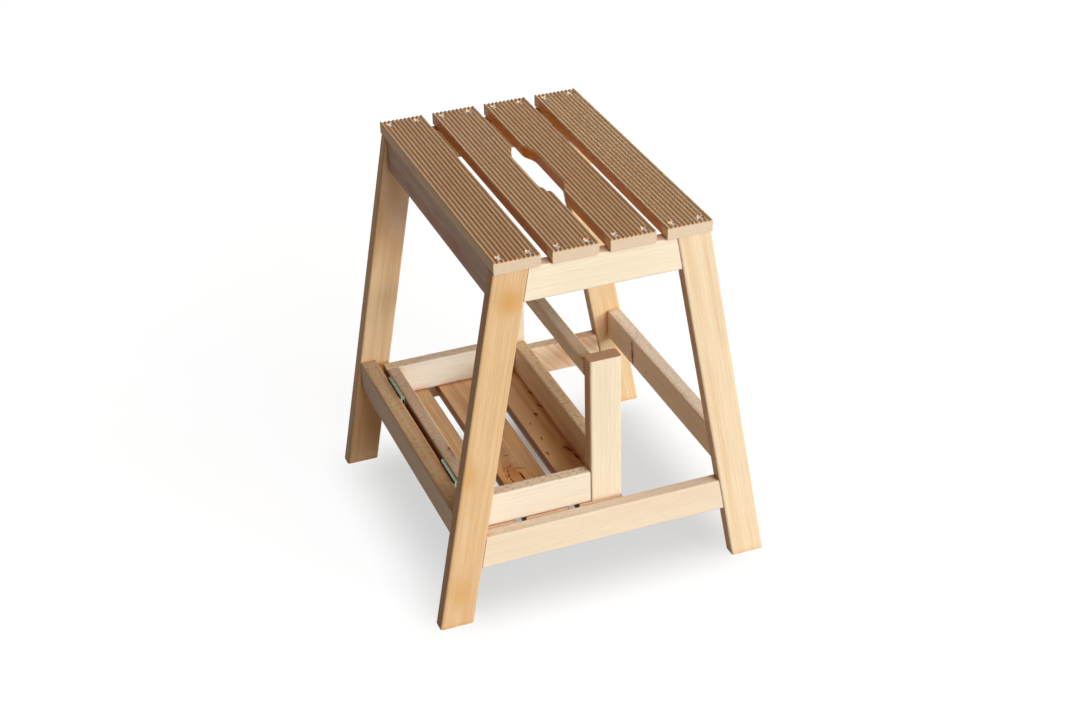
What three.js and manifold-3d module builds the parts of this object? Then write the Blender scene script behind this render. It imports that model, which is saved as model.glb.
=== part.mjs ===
// Folding step stool in solid beech.
// A ribbed slat seat stands on two splayed side frames. A step unit is hinged to the front
// stretcher. It folds upside down between the side frames and swings out to the front.
// Millimetres, +Z up, floor at zero, the origin in the middle of the four feet.
// -X is the front. Seen from the front, -Y is the right side and +Y the left.

import * as THREE from "three";
import { mergeVertices } from "three/addons/utils/BufferGeometryUtils.js";
import Module from "manifold-3d";

const wasm = await Module();
wasm.setup();

// Whole stool
const seatHeight = 450;
const seatLength = 385;
const footSpread = 402;

// Slats, one stock for the seat and the tread
const seatSlatCount = 4;
const treadSlatCount = 3;
const slatWidth = 52;
const slatThickness = 14.5;
const slatGap = 12.8;
const slatEdgeRounding = 1.4;
const slatGrooveCount = 10;
const slatGrooveDepth = 1.7;

// Hand hold between the two middle slats
const handHoldLength = 142;
const handHoldStraight = 76;
const handHoldDepth = 8.4;

// Legs of the side frames
const legWidth = 39;
const legThickness = 18;
const legInset = 1.5;
const legRounding = 3;

// Rails and aprons, one stock for the side frames and the step
const railHeight = 40;
const railThickness = 16;
const railInset = 1.5;
const railRounding = 2;
const lowerRailLift = 70;
const apronInset = 1.3;

// Stretchers across the front and the rear
const stretcherTop = 143.5;
const stretcherHeight = 38;
const stretcherInset = 0.5;
const frontStretcherThickness = 20.5;
const rearStretcherThickness = 18;

// Step unit
const stepSideGap = 12;
const stepLegWidth = 38;
const stepLegThickness = 18;
const stepFootClearance = 0.4;
const footBarHeight = 18.7;
const footBarThickness = 14.5;
const footBarDrop = 8;

// Stub tenons
const tenonLength = 14;
const tenonWall = 1.2;
const tenonHeightShare = 0.55;
const tenonThicknessShare = 0.375;

// Butt hinges
const hingeLength = 50;
const hingeInset = 63;
const hingeLift = 0.3;
const knuckleCount = 5;
const knuckleRadius = 2.3;
const hingePinRadius = 1.1;
const leafThickness = 1.2;
const leafReach = 19;
const leafScrewSpacing = 30;
const leafScrewLength = 12;
const leafScrewRadius = 1.4;
const leafScrewHeadRadius = 2.9;
const leafScrewHeadRise = 0.4;

// Countersunk wood screws
const screwLength = 26;
const screwTipLength = 3;
const screwShankRadius = 1.75;
const screwHeadRadius = 3.6;
const screwHeadHeight = 2.6;
const screwHeadRim = 0.4;
const screwSink = 2;
const screwHoleFlare = 1.4;
const screwEdgeInset = 9.5;

// Clearances
const fitGap = 0.3;
const overrun = 5;

// Facets
const roundingFacets = 3;
const grooveFacets = 6;
const handHoldFacets = 8;
const screwFacets = 10;
const knuckleFacets = 16;

// Worked out from the sizes above
const slatPitch = slatWidth + slatGap;
const seatWidth = seatSlatCount * slatPitch - slatGap;
const treadWidth = treadSlatCount * slatPitch - slatGap;
const legHeight = seatHeight - slatThickness - fitGap;
const splay = (footSpread - seatWidth) / 2 / legHeight;
const legRun = legWidth * Math.hypot(1, splay);
const legOuterY = seatLength / 2 - legInset;
const legInnerY = legOuterY - legThickness;
const legMiddleY = (legOuterY + legInnerY) / 2;
const railOuterY = legOuterY - railInset;
const railInnerY = railOuterY - railThickness;
const apronOuterX = seatWidth / 2 - apronInset;
const topRailBottom = legHeight - railHeight;
const stretcherOuterX = legEdge(stretcherTop) - stretcherInset;
const frontStretcherInnerX = stretcherOuterX - frontStretcherThickness;
const rearStretcherInnerX = stretcherOuterX - rearStretcherThickness;
const hingeHalfGap = knuckleRadius + fitGap;
const hingeX = hingeHalfGap - frontStretcherInnerX;
const hingeZ = stretcherTop + hingeLift;
const stepFrontX = hingeX + hingeHalfGap;
const stepRearX = stepFrontX + treadWidth;
const stepSideY = legInnerY - stepSideGap;
const hingeY = stepSideY - hingeInset;
const stepRailBottom = stretcherTop - railHeight;
const stepRailMiddleY = stepSideY - railThickness / 2;
const stepLegFrontX = stepRearX - stepLegWidth;
const stepLegInnerY = stepSideY - stepLegThickness;
const stepLegTop = 2 * hingeZ - stepFootClearance;
const treadTop = stepRailBottom - fitGap;
const treadBottom = treadTop - slatThickness;
const footBarTop = stepLegTop - footBarDrop;
const screwOffset = slatWidth / 2 - screwEdgeInset;

// Outer edge of a leg, from the middle of the stool, at a height
function legEdge(height) {
  return footSpread / 2 - splay * height;
}

// Depth of a stub tenon that stops short of a screw
function tenonBefore(distanceToScrew) {
  return distanceToScrew - screwShankRadius - fitGap - tenonWall;
}

// Materials
function wood(color) {
  return new THREE.MeshStandardMaterial({ color, roughness: 0.55, metalness: 0 });
}

function zinc(color) {
  return new THREE.MeshStandardMaterial({ color, roughness: 0.35, metalness: 0.9 });
}

const legWood = wood(0xdcb384);
const railWood = wood(0xe4c79c);
const slatWood = wood(0xc49a6c);
const hingeZinc = zinc(0xaab2a6);
const screwZinc = zinc(0xc8cac4);

// Solids for joining and cutting
function solidFrom(geometry) {
  const bare = geometry.index ? geometry.toNonIndexed() : geometry.clone();
  bare.deleteAttribute("normal");
  bare.deleteAttribute("uv");
  const merged = mergeVertices(bare);
  return new wasm.Manifold(
    new wasm.Mesh({
      numProp: 3,
      vertProperties: new Float32Array(merged.attributes.position.array),
      triVerts: new Uint32Array(merged.index.array),
    })
  );
}

function geometryFrom(solid) {
  const { vertProperties, triVerts, numProp } = solid.getMesh();
  const positions = [];
  for (const vertex of triVerts) {
    const start = vertex * numProp;
    positions.push(vertProperties[start], vertProperties[start + 1], vertProperties[start + 2]);
  }
  const geometry = new THREE.BufferGeometry();
  geometry.setAttribute("position", new THREE.Float32BufferAttribute(positions, 3));
  geometry.computeVertexNormals();
  return geometry;
}

function cut(solid, cutters) {
  return cutters.reduce((left, cutter) => left.subtract(cutter), solid);
}

// A piece stands at the middle of its own box
function piece(name, solid, material) {
  const geometry = geometryFrom(solid);
  geometry.computeBoundingBox();
  const middle = geometry.boundingBox.getCenter(new THREE.Vector3());
  geometry.translate(-middle.x, -middle.y, -middle.z);
  const mesh = new THREE.Mesh(geometry, material);
  mesh.name = name;
  mesh.position.copy(middle);
  return mesh;
}

// Rounded rectangle about the origin
function roundedOutline(width, depth, rounding) {
  const x = width / 2;
  const y = depth / 2;
  const outline = new THREE.Shape();
  if (rounding === 0) {
    outline.moveTo(-x, -y);
    outline.lineTo(x, -y);
    outline.lineTo(x, y);
    outline.lineTo(-x, y);
    outline.closePath();
    return outline;
  }
  const quarter = Math.PI / 2;
  outline.absarc(x - rounding, rounding - y, rounding, -quarter, 0);
  outline.absarc(x - rounding, y - rounding, rounding, 0, quarter);
  outline.absarc(rounding - x, y - rounding, rounding, quarter, 2 * quarter);
  outline.absarc(rounding - x, rounding - y, rounding, 2 * quarter, 3 * quarter);
  outline.closePath();
  return outline;
}

function extruded(outline, length, facets) {
  return new THREE.ExtrudeGeometry(outline, {
    depth: length,
    bevelEnabled: false,
    curveSegments: facets,
    steps: 1,
  });
}

// Axes of an extrusion that runs along X, Y or Z
const runX = new THREE.Matrix4().makeBasis(
  new THREE.Vector3(0, 1, 0),
  new THREE.Vector3(0, 0, 1),
  new THREE.Vector3(1, 0, 0)
);
const runY = new THREE.Matrix4().makeBasis(
  new THREE.Vector3(0, 0, 1),
  new THREE.Vector3(1, 0, 0),
  new THREE.Vector3(0, 1, 0)
);
const runZ = new THREE.Matrix4();

// A box between two corners, its long edges rounded along its run
function timber(run, low, high, rounding) {
  const size = new THREE.Vector3().subVectors(high, low);
  const middle = new THREE.Vector3().addVectors(low, high).multiplyScalar(0.5);
  const local = size.clone().applyMatrix4(run.clone().transpose());
  const outline = roundedOutline(local.x, local.y, rounding);
  const geometry = extruded(outline, local.z, roundingFacets);
  geometry.translate(0, 0, -local.z / 2);
  geometry.applyMatrix4(run);
  geometry.translate(middle.x, middle.y, middle.z);
  return solidFrom(geometry);
}

// A bar with a stub tenon along its run, and the mortise that takes the tenon
function tenoned(run, low, high, rounding, tenonLow, tenonHigh) {
  const middle = new THREE.Vector3().addVectors(low, high).multiplyScalar(0.5);
  const half = new THREE.Vector3().subVectors(high, low).multiplyScalar(0.5);
  const long = new THREE.Vector3(0, 0, 1).applyMatrix4(run);
  const coreLow = new THREE.Vector3(
    long.x ? tenonLow : middle.x - half.x * tenonThicknessShare,
    long.y ? tenonLow : middle.y - half.y * tenonThicknessShare,
    middle.z - half.z * tenonHeightShare
  );
  const coreHigh = new THREE.Vector3(
    long.x ? tenonHigh : middle.x + half.x * tenonThicknessShare,
    long.y ? tenonHigh : middle.y + half.y * tenonThicknessShare,
    middle.z + half.z * tenonHeightShare
  );
  return {
    body: timber(run, low, high, rounding),
    tenon: timber(run, coreLow, coreHigh, 0),
    mortise: timber(run, coreLow.clone().subScalar(fitGap), coreHigh.clone().addScalar(fitGap), 0),
  };
}

// A countersunk wood screw, its head flat at the origin and its shank down -Z.
// Its hole has room above the head and opens out upwards.
function screwProfile(grow, headroom, flare) {
  const shank = screwShankRadius + grow;
  const head = screwHeadRadius + grow;
  return [
    new THREE.Vector2(0, -screwLength - grow),
    new THREE.Vector2(shank, screwTipLength - screwLength - grow),
    new THREE.Vector2(shank, -screwHeadHeight - grow),
    new THREE.Vector2(head, -screwHeadRim - grow),
    new THREE.Vector2(head + flare, headroom),
    new THREE.Vector2(0, headroom),
  ];
}

const screwGeometry = new THREE.LatheGeometry(screwProfile(0, 0, 0), screwFacets);
const screwHoleGeometry = new THREE.LatheGeometry(
  screwProfile(fitGap, overrun, screwHoleFlare), screwFacets
);
for (const geometry of [screwGeometry, screwHoleGeometry]) {
  geometry.rotateX(Math.PI / 2);
}

function screwPlace(x, y, z, upwards) {
  const turn = new THREE.Euler(upwards ? Math.PI : 0, 0, 0);
  return { x, y, z, turn };
}

function screwHole(place) {
  const matrix = new THREE.Matrix4().makeRotationFromEuler(place.turn);
  matrix.setPosition(place.x, place.y, place.z);
  return solidFrom(screwHoleGeometry.clone().applyMatrix4(matrix));
}

function screw(name, place) {
  const mesh = new THREE.Mesh(screwGeometry, screwZinc);
  mesh.name = name;
  mesh.position.set(place.x, place.y, place.z);
  mesh.rotation.copy(place.turn);
  return mesh;
}

const sides = [
  { name: "right", sign: -1 },
  { name: "left", sign: 1 },
];
const ends = [
  { name: "front", sign: -1 },
  { name: "rear", sign: 1 },
];

function slatMiddle(firstEdge, index) {
  return firstEdge + slatWidth / 2 + index * slatPitch;
}

// Two screws at each end of every slat
function slatScrews(prefix, count, firstEdge, screwY, z, upwards) {
  const list = [];
  for (let index = 0; index < count; index += 1) {
    for (const side of sides) {
      [-screwOffset, screwOffset].forEach((offset, which) => {
        list.push({
          name: `${prefix}_${index + 1}_${side.name}_${which + 1}`,
          slat: index,
          side: side.sign,
          place: screwPlace(slatMiddle(firstEdge, index) + offset, side.sign * screwY, z, upwards),
        });
      });
    }
  }
  return list;
}

const seatFirstEdge = -seatWidth / 2;
const seatScrews = slatScrews(
  "seat_screw", seatSlatCount, seatFirstEdge, legMiddleY, seatHeight - screwSink, false
);
const treadScrews = slatScrews(
  "tread_screw", treadSlatCount, stepFrontX, stepRailMiddleY, treadBottom + screwSink, true
);

function holesOf(screws, keep) {
  return screws.filter(keep).map((item) => screwHole(item.place));
}

// End profile of a slat: round grooves in the top, eased corners below
function slatOutline() {
  const half = slatWidth / 2;
  const shoulder = half - slatEdgeRounding;
  const pitch = (2 * shoulder) / slatGrooveCount;
  const outline = new THREE.Shape();
  outline.moveTo(-shoulder, 0);
  outline.lineTo(shoulder, 0);
  outline.quadraticCurveTo(half, 0, half, slatEdgeRounding);
  outline.lineTo(half, slatThickness - slatEdgeRounding);
  outline.quadraticCurveTo(half, slatThickness, shoulder, slatThickness);
  const steps = slatGrooveCount * grooveFacets;
  for (let step = 1; step < steps; step += 1) {
    const x = shoulder - (2 * shoulder * step) / steps;
    const wave = (1 - Math.cos((2 * Math.PI * (shoulder - x)) / pitch)) / 2;
    outline.lineTo(x, slatThickness - slatGrooveDepth * wave);
  }
  outline.lineTo(-shoulder, slatThickness);
  outline.quadraticCurveTo(-half, slatThickness, -half, slatThickness - slatEdgeRounding);
  outline.lineTo(-half, slatEdgeRounding);
  outline.quadraticCurveTo(-half, 0, -shoulder, 0);
  return outline;
}

// A slat along Y with its ribs up, or turned over
function slat(middleX, bottomZ, length, turned) {
  const geometry = extruded(slatOutline(), length, roundingFacets - 1);
  geometry.translate(0, -slatThickness / 2, -length / 2);
  geometry.rotateX(turned ? -Math.PI / 2 : Math.PI / 2);
  geometry.translate(middleX, 0, bottomZ + slatThickness / 2);
  return solidFrom(geometry);
}

// Cutter for one half of the hand hold, with an S curve at each end
function handHoldCutter(edgeX, inward) {
  const half = handHoldLength / 2;
  const straight = handHoldStraight / 2;
  const bend = (half - straight) / 2;
  const deepX = edgeX + inward * handHoldDepth;
  const outsideX = edgeX - inward * overrun;
  const outline = new THREE.Shape();
  outline.moveTo(outsideX, -half);
  outline.lineTo(edgeX, -half);
  outline.bezierCurveTo(edgeX, bend - half, deepX, -straight - bend, deepX, -straight);
  outline.lineTo(deepX, straight);
  outline.bezierCurveTo(deepX, straight + bend, edgeX, half - bend, edgeX, half);
  outline.lineTo(outsideX, half);
  outline.closePath();
  const geometry = extruded(outline, slatThickness + 2 * overrun, handHoldFacets);
  geometry.translate(0, 0, seatHeight - slatThickness - overrun);
  return solidFrom(geometry);
}

// A leg prism, sheared so that its feet and its top stay level
function legPrism(end, side, rounding, grow, endGrow) {
  const outline = roundedOutline(legRun + 2 * grow, legThickness + 2 * grow, rounding);
  const geometry = extruded(outline, legHeight + 2 * endGrow, roundingFacets);
  geometry.translate(end.sign * (footSpread / 2 - legRun / 2), side.sign * legMiddleY, -endGrow);
  geometry.applyMatrix4(new THREE.Matrix4().makeShear(0, 0, 0, 0, -end.sign * splay, 0));
  return solidFrom(geometry);
}

// Side frame members
function sideRail(side, bottom) {
  const middleHeight = bottom + railHeight / 2;
  const reach = legEdge(middleHeight) - legRun + tenonLength;
  const nearY = side.sign * railOuterY;
  const farY = side.sign * railInnerY;
  const blankHalf = legEdge(bottom + railHeight);
  return tenoned(
    runX,
    new THREE.Vector3(-blankHalf, Math.min(nearY, farY), bottom),
    new THREE.Vector3(blankHalf, Math.max(nearY, farY), bottom + railHeight),
    railRounding,
    -reach,
    reach
  );
}

// Members that cross from one side frame to the other
const crossTenon = tenonBefore(legMiddleY - legInnerY);

function crossMember(end, outerX, innerX, bottom, height) {
  const outer = end.sign * outerX;
  const inner = end.sign * innerX;
  return tenoned(
    runY,
    new THREE.Vector3(Math.min(outer, inner), fitGap - legInnerY, bottom),
    new THREE.Vector3(Math.max(outer, inner), legInnerY - fitGap, bottom + height),
    railRounding,
    -legInnerY - crossTenon,
    legInnerY + crossTenon
  );
}

const crossMembers = ends.map((end) => {
  const isFront = end.sign < 0;
  const stretcherInnerX = isFront ? frontStretcherInnerX : rearStretcherInnerX;
  const stretcherBottom = stretcherTop - stretcherHeight;
  return {
    end,
    apron: crossMember(end, apronOuterX, apronOuterX - railThickness, topRailBottom, railHeight),
    stretcher: crossMember(
      end, stretcherOuterX, stretcherInnerX, stretcherBottom, stretcherHeight
    ),
  };
});

// Hinge leaf and knuckles about the pin, hanging down -Z, the wood on the -X side
function hingeLeaf(knuckles, pitch) {
  const face = -knuckleRadius;
  const plateTop = -knuckleRadius - fitGap;
  const half = hingeLength / 2;
  let leaf = timber(
    runY,
    new THREE.Vector3(face, -half, -leafReach),
    new THREE.Vector3(face + leafThickness, half, plateTop),
    0
  );
  for (const index of knuckles) {
    const from = -half + index * pitch + fitGap / 2;
    const to = from + pitch - fitGap;
    const barrel = new THREE.CylinderGeometry(
      knuckleRadius, knuckleRadius, to - from, knuckleFacets
    );
    barrel.translate(0, (from + to) / 2, 0);
    const strap = timber(
      runY,
      new THREE.Vector3(face, from, plateTop - leafThickness),
      new THREE.Vector3(face + leafThickness, to, 0),
      0
    );
    leaf = leaf.add(solidFrom(barrel)).add(strap);
  }
  const bore = new THREE.CylinderGeometry(
    hingePinRadius + fitGap, hingePinRadius + fitGap, hingeLength + overrun, knuckleFacets
  );
  leaf = leaf.subtract(solidFrom(bore));
  for (const y of leafScrewYs()) {
    leaf = leaf.add(solidFrom(leafScrew(0, y)));
  }
  return leaf;
}

function leafScrewYs() {
  return [-leafScrewSpacing / 2, leafScrewSpacing / 2];
}

// Screw of a leaf along X: a low head on the leaf and a shank in the wood on the -X side
function leafScrew(grow, y) {
  const headFace = -knuckleRadius + leafThickness;
  const tip = -knuckleRadius - leafScrewLength - grow;
  const profile = [
    new THREE.Vector2(0, tip),
    new THREE.Vector2(leafScrewRadius + grow, tip + leafScrewRadius),
    new THREE.Vector2(leafScrewRadius + grow, headFace - leafThickness / 2),
    new THREE.Vector2(leafScrewHeadRadius, headFace),
    new THREE.Vector2(leafScrewHeadRadius / 2, headFace + leafScrewHeadRise),
    new THREE.Vector2(0, headFace + leafScrewHeadRise),
  ];
  const geometry = new THREE.LatheGeometry(profile, screwFacets);
  geometry.rotateZ(-Math.PI / 2);
  geometry.translate(0, y, -(leafReach + knuckleRadius) / 2);
  return geometry;
}

// Pilot holes in the wood behind the leaves; mirrored on the step's side
function leafHoles(mirrored) {
  const holes = [];
  for (const side of sides) {
    for (const y of leafScrewYs()) {
      const geometry = leafScrew(fitGap, y);
      if (mirrored) {
        geometry.rotateZ(Math.PI);
      }
      geometry.translate(hingeX, side.sign * hingeY, hingeZ);
      holes.push(solidFrom(geometry));
    }
  }
  return holes;
}

// The seat
function buildSeat() {
  const group = new THREE.Group();
  const middle = seatSlatCount / 2;
  for (let index = 0; index < seatSlatCount; index += 1) {
    const middleX = slatMiddle(seatFirstEdge, index);
    const cutters = holesOf(seatScrews, (item) => item.slat === index);
    if (index === middle - 1) {
      cutters.push(handHoldCutter(middleX + slatWidth / 2, -1));
    }
    if (index === middle) {
      cutters.push(handHoldCutter(middleX - slatWidth / 2, 1));
    }
    const blank = slat(middleX, seatHeight - slatThickness, seatLength, false);
    group.add(piece(`seat_slat_${index + 1}`, cut(blank, cutters), slatWood));
  }
  for (const item of seatScrews) {
    group.add(screw(item.name, item.place));
  }
  return group;
}

// The two side frames with the members that cross between them
function buildFrame() {
  const group = new THREE.Group();
  for (const side of sides) {
    const screwHoles = holesOf(seatScrews, (item) => item.side === side.sign);
    const legCutters = ends.map((end) => legPrism(end, side, 0, fitGap, overrun));
    const rails = [
      { name: `top_rail_${side.name}`, joint: sideRail(side, topRailBottom), holes: screwHoles },
      { name: `lower_rail_${side.name}`, joint: sideRail(side, lowerRailLift), holes: [] },
    ];
    for (const { name, joint, holes } of rails) {
      const trimmed = cut(joint.body, legCutters).add(joint.tenon);
      group.add(piece(name, cut(trimmed, holes), railWood));
    }
    for (const { end, apron, stretcher } of crossMembers) {
      const mortises = rails.map((rail) => rail.joint.mortise);
      const blank = legPrism(end, side, legRounding, 0, 0);
      const cutters = [...mortises, apron.mortise, stretcher.mortise, ...screwHoles];
      group.add(piece(`leg_${end.name}_${side.name}`, cut(blank, cutters), legWood));
    }
  }
  for (const { end, apron, stretcher } of crossMembers) {
    group.add(piece(`apron_${end.name}`, apron.body.add(apron.tenon), railWood));
    const holes = end.sign < 0 ? leafHoles(false) : [];
    const bar = cut(stretcher.body.add(stretcher.tenon), holes);
    group.add(piece(`stretcher_${end.name}`, bar, railWood));
  }
  return group;
}

// A bar of the step unit between its two sides
function stepCrossBar(frontX, rearX, bottom, top, innerY, tenon) {
  return tenoned(
    runY,
    new THREE.Vector3(frontX, fitGap - innerY, bottom),
    new THREE.Vector3(rearX, innerY - fitGap, top),
    railRounding,
    -innerY - tenon,
    innerY + tenon
  );
}

// The step unit, upside down as it is when folded
function buildStep() {
  const group = new THREE.Group();
  const sideRailInnerY = stepSideY - railThickness;
  const hingeRail = stepCrossBar(
    stepFrontX, stepFrontX + railThickness, stepRailBottom, stretcherTop,
    sideRailInnerY, tenonBefore(stepRailMiddleY - sideRailInnerY)
  );
  const outerRail = stepCrossBar(
    stepRearX - railThickness, stepRearX, stepRailBottom, stretcherTop,
    stepLegInnerY, tenonBefore(stepRailMiddleY - stepLegInnerY)
  );
  const footBar = stepCrossBar(
    stepLegFrontX, stepLegFrontX + footBarThickness, footBarTop - footBarHeight, footBarTop,
    stepLegInnerY, crossTenon
  );
  for (const side of sides) {
    const holes = holesOf(treadScrews, (item) => item.side === side.sign);
    const outerY = side.sign * stepSideY;
    const railY = [outerY, side.sign * sideRailInnerY];
    const legY = [outerY, side.sign * stepLegInnerY];
    const rail = tenoned(
      runX,
      new THREE.Vector3(stepFrontX, Math.min(...railY), stepRailBottom),
      new THREE.Vector3(stepLegFrontX - fitGap, Math.max(...railY), stretcherTop),
      railRounding,
      stepFrontX + tenonLength,
      stepLegFrontX + tenonLength
    );
    const leg = timber(
      runZ,
      new THREE.Vector3(stepLegFrontX, Math.min(...legY), stepRailBottom),
      new THREE.Vector3(stepRearX, Math.max(...legY), stepLegTop),
      legRounding
    );
    const railSolid = cut(rail.body.add(rail.tenon), [hingeRail.mortise, ...holes]);
    const legSolid = cut(leg, [rail.mortise, outerRail.mortise, footBar.mortise, ...holes]);
    group.add(piece(`step_rail_${side.name}`, railSolid, railWood));
    group.add(piece(`step_leg_${side.name}`, legSolid, legWood));
  }
  const hingeRailSolid = cut(hingeRail.body.add(hingeRail.tenon), leafHoles(true));
  group.add(piece("step_rail_hinge", hingeRailSolid, railWood));
  group.add(piece("step_rail_rear", outerRail.body.add(outerRail.tenon), railWood));
  group.add(piece("step_foot_bar", footBar.body.add(footBar.tenon), railWood));
  for (let index = 0; index < treadSlatCount; index += 1) {
    const blank = slat(slatMiddle(stepFrontX, index), treadBottom, 2 * stepSideY, true);
    const holes = holesOf(treadScrews, (item) => item.slat === index);
    group.add(piece(`tread_slat_${index + 1}`, cut(blank, holes), slatWood));
  }
  for (const item of treadScrews) {
    group.add(screw(item.name, item.place));
  }
  return group;
}

// One butt hinge, folded shut, its pin on the hinge axis
function buildHinge(side) {
  const group = new THREE.Group();
  group.position.set(hingeX, side.sign * hingeY, hingeZ);
  const pitch = hingeLength / knuckleCount;
  const all = [...Array(knuckleCount).keys()];
  const frameLeaf = hingeLeaf(all.filter((index) => index % 2 === 0), pitch);
  const stepLeaf = hingeLeaf(all.filter((index) => index % 2 === 1), pitch);
  const frameMesh = new THREE.Mesh(geometryFrom(frameLeaf), hingeZinc);
  frameMesh.name = `hinge_${side.name}_frame_leaf`;
  const stepMesh = new THREE.Mesh(geometryFrom(stepLeaf), hingeZinc);
  stepMesh.name = `hinge_${side.name}_step_leaf`;
  stepMesh.rotation.z = Math.PI;
  const pin = new THREE.CylinderGeometry(
    hingePinRadius, hingePinRadius, hingeLength, knuckleFacets
  );
  const pinMesh = new THREE.Mesh(pin, hingeZinc);
  pinMesh.name = `hinge_${side.name}_pin`;
  group.add(frameMesh, stepMesh, pinMesh);
  return group;
}

const stool = new THREE.Group();
stool.add(buildSeat());
stool.add(buildFrame());
stool.add(buildStep());
for (const side of sides) {
  stool.add(buildHinge(side));
}

export default stool;
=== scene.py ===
"""Looks of the folding step stool: oiled wood, zinc screws and hinges, a pale floor and soft light."""

import math

import bpy
from mathutils import Matrix, Vector


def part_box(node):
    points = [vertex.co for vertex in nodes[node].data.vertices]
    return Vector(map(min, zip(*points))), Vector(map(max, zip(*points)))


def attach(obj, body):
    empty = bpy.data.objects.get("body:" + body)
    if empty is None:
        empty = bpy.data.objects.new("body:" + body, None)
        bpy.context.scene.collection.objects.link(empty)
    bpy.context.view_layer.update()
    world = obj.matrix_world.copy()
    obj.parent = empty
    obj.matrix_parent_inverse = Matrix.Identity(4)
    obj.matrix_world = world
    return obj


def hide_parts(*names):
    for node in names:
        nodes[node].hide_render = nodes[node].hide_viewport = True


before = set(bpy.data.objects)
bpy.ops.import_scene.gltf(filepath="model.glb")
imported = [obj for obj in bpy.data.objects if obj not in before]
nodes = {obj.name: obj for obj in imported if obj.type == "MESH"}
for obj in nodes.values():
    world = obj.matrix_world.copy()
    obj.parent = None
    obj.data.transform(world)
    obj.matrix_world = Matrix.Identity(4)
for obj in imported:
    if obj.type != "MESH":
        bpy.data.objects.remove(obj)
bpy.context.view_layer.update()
scene = bpy.context.scene
MM = 0.001

# Camera, solved from the photograph. Lengths in metres, the sensor's width in millimetres.
IMAGE_WIDTH = 1080
SENSOR_WIDTH = 36.0
FOCAL_PIXELS = 1947.8
CAMERA_AZIMUTH = math.radians(-20.67)
CAMERA_ELEVATION = math.radians(30.80)
CAMERA_ROLL = math.radians(-1.42)
CAMERA_DISTANCE = 2.2843
CAMERA_TARGET = Vector((-0.0051, -0.0069, 0.2061))
CAMERA_NEAR = 0.05
CAMERA_FAR = 60


def direction(bearing, height):
    """A unit vector: bearing from -Y towards +X and height above the floor, in radians."""
    return Vector(
        (
            math.sin(bearing) * math.cos(height),
            -math.cos(bearing) * math.cos(height),
            math.sin(height),
        )
    )


def make_camera():
    data = bpy.data.cameras.new("camera")
    data.sensor_width = SENSOR_WIDTH
    data.lens = FOCAL_PIXELS / IMAGE_WIDTH * SENSOR_WIDTH
    data.clip_start = CAMERA_NEAR
    data.clip_end = CAMERA_FAR
    camera = bpy.data.objects.new("camera", data)
    scene.collection.objects.link(camera)
    back = direction(CAMERA_AZIMUTH, CAMERA_ELEVATION)
    level_right = Vector((math.cos(CAMERA_AZIMUTH), math.sin(CAMERA_AZIMUTH), 0))
    level_up = back.cross(level_right)
    right = math.cos(CAMERA_ROLL) * level_right + math.sin(CAMERA_ROLL) * level_up
    up = back.cross(right)
    place = Matrix((right, up, back)).transposed().to_4x4()
    place.translation = CAMERA_TARGET + back * CAMERA_DISTANCE
    camera.matrix_world = place
    scene.camera = camera


def srgb(red, green, blue):
    """A colour as it looks on screen, 0 to 255, turned into linear light by the sRGB curve."""
    linear = []
    for value in (red, green, blue):
        share = value / 255
        linear.append(share / 12.92 if share <= 0.04045 else ((share + 0.055) / 1.055) ** 2.4)
    return (*linear, 1.0)


# Node helpers


def add_node(tree, kind, inputs=None, **settings):
    made = tree.nodes.new(kind)
    for key, value in settings.items():
        setattr(made, key, value)
    for key, value in (inputs or {}).items():
        if isinstance(value, bpy.types.NodeSocket):
            tree.links.new(value, made.inputs[key])
        else:
            made.inputs[key].default_value = value
    return made


def math_node(tree, operation, first, second=0.0, third=0.0):
    made = add_node(tree, "ShaderNodeMath", {0: first, 1: second, 2: third}, operation=operation)
    return made.outputs[0]


def vector_node(tree, operation, first, second=(0, 0, 0)):
    made = add_node(tree, "ShaderNodeVectorMath", {0: first, 1: second}, operation=operation)
    return made.outputs["Value" if operation in ("LENGTH", "DOT_PRODUCT") else "Vector"]


def mix_colors(tree, factor, first, second, blend="MIX"):
    """Two colours mixed. A mix node has its colours at inputs 6 and 7 and at output 2."""
    made = add_node(
        tree,
        "ShaderNodeMix",
        {0: factor, 6: first, 7: second},
        data_type="RGBA",
        blend_type=blend,
        clamp_factor=True,
    )
    return made.outputs[2]


def smooth_range(tree, value, low, high, to_low=0.0, to_high=1.0):
    made = add_node(
        tree,
        "ShaderNodeMapRange",
        {0: value, 1: low, 2: high, 3: to_low, 4: to_high},
        interpolation_type="SMOOTHSTEP",
    )
    return made.outputs[0]


def noise_node(tree, vector, scale, detail=2.0, roughness=0.5):
    stretched = vector_node(tree, "MULTIPLY", vector, scale)
    return add_node(
        tree,
        "ShaderNodeTexNoise",
        {"Vector": stretched, "Scale": 1.0, "Detail": detail, "Roughness": roughness},
    )


def noise(tree, vector, scale, detail=2.0, roughness=0.5):
    return noise_node(tree, vector, scale, detail, roughness).outputs["Fac"]


# Wood. The figure's coordinates are in metres with the grain along Z.
# Noise scales per metre: twice across the grain, then along it.
WANDER_SCALE = (16, 16, 3.4)
LINE_SCALE = (520, 520, 5)
STREAK_SCALE = (95, 95, 3.2)
CLOUD_SCALE = (22, 22, 7)
FIBRE_SCALE = (1500, 1500, 30)
PORE_SCALE = (1700, 1700, 190)
# Across one ring the tone rises slowly, then falls fast
RING_RISE_END = 0.72
RING_FALL_START = 0.76
FAINTEST_RING = 0.25


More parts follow.
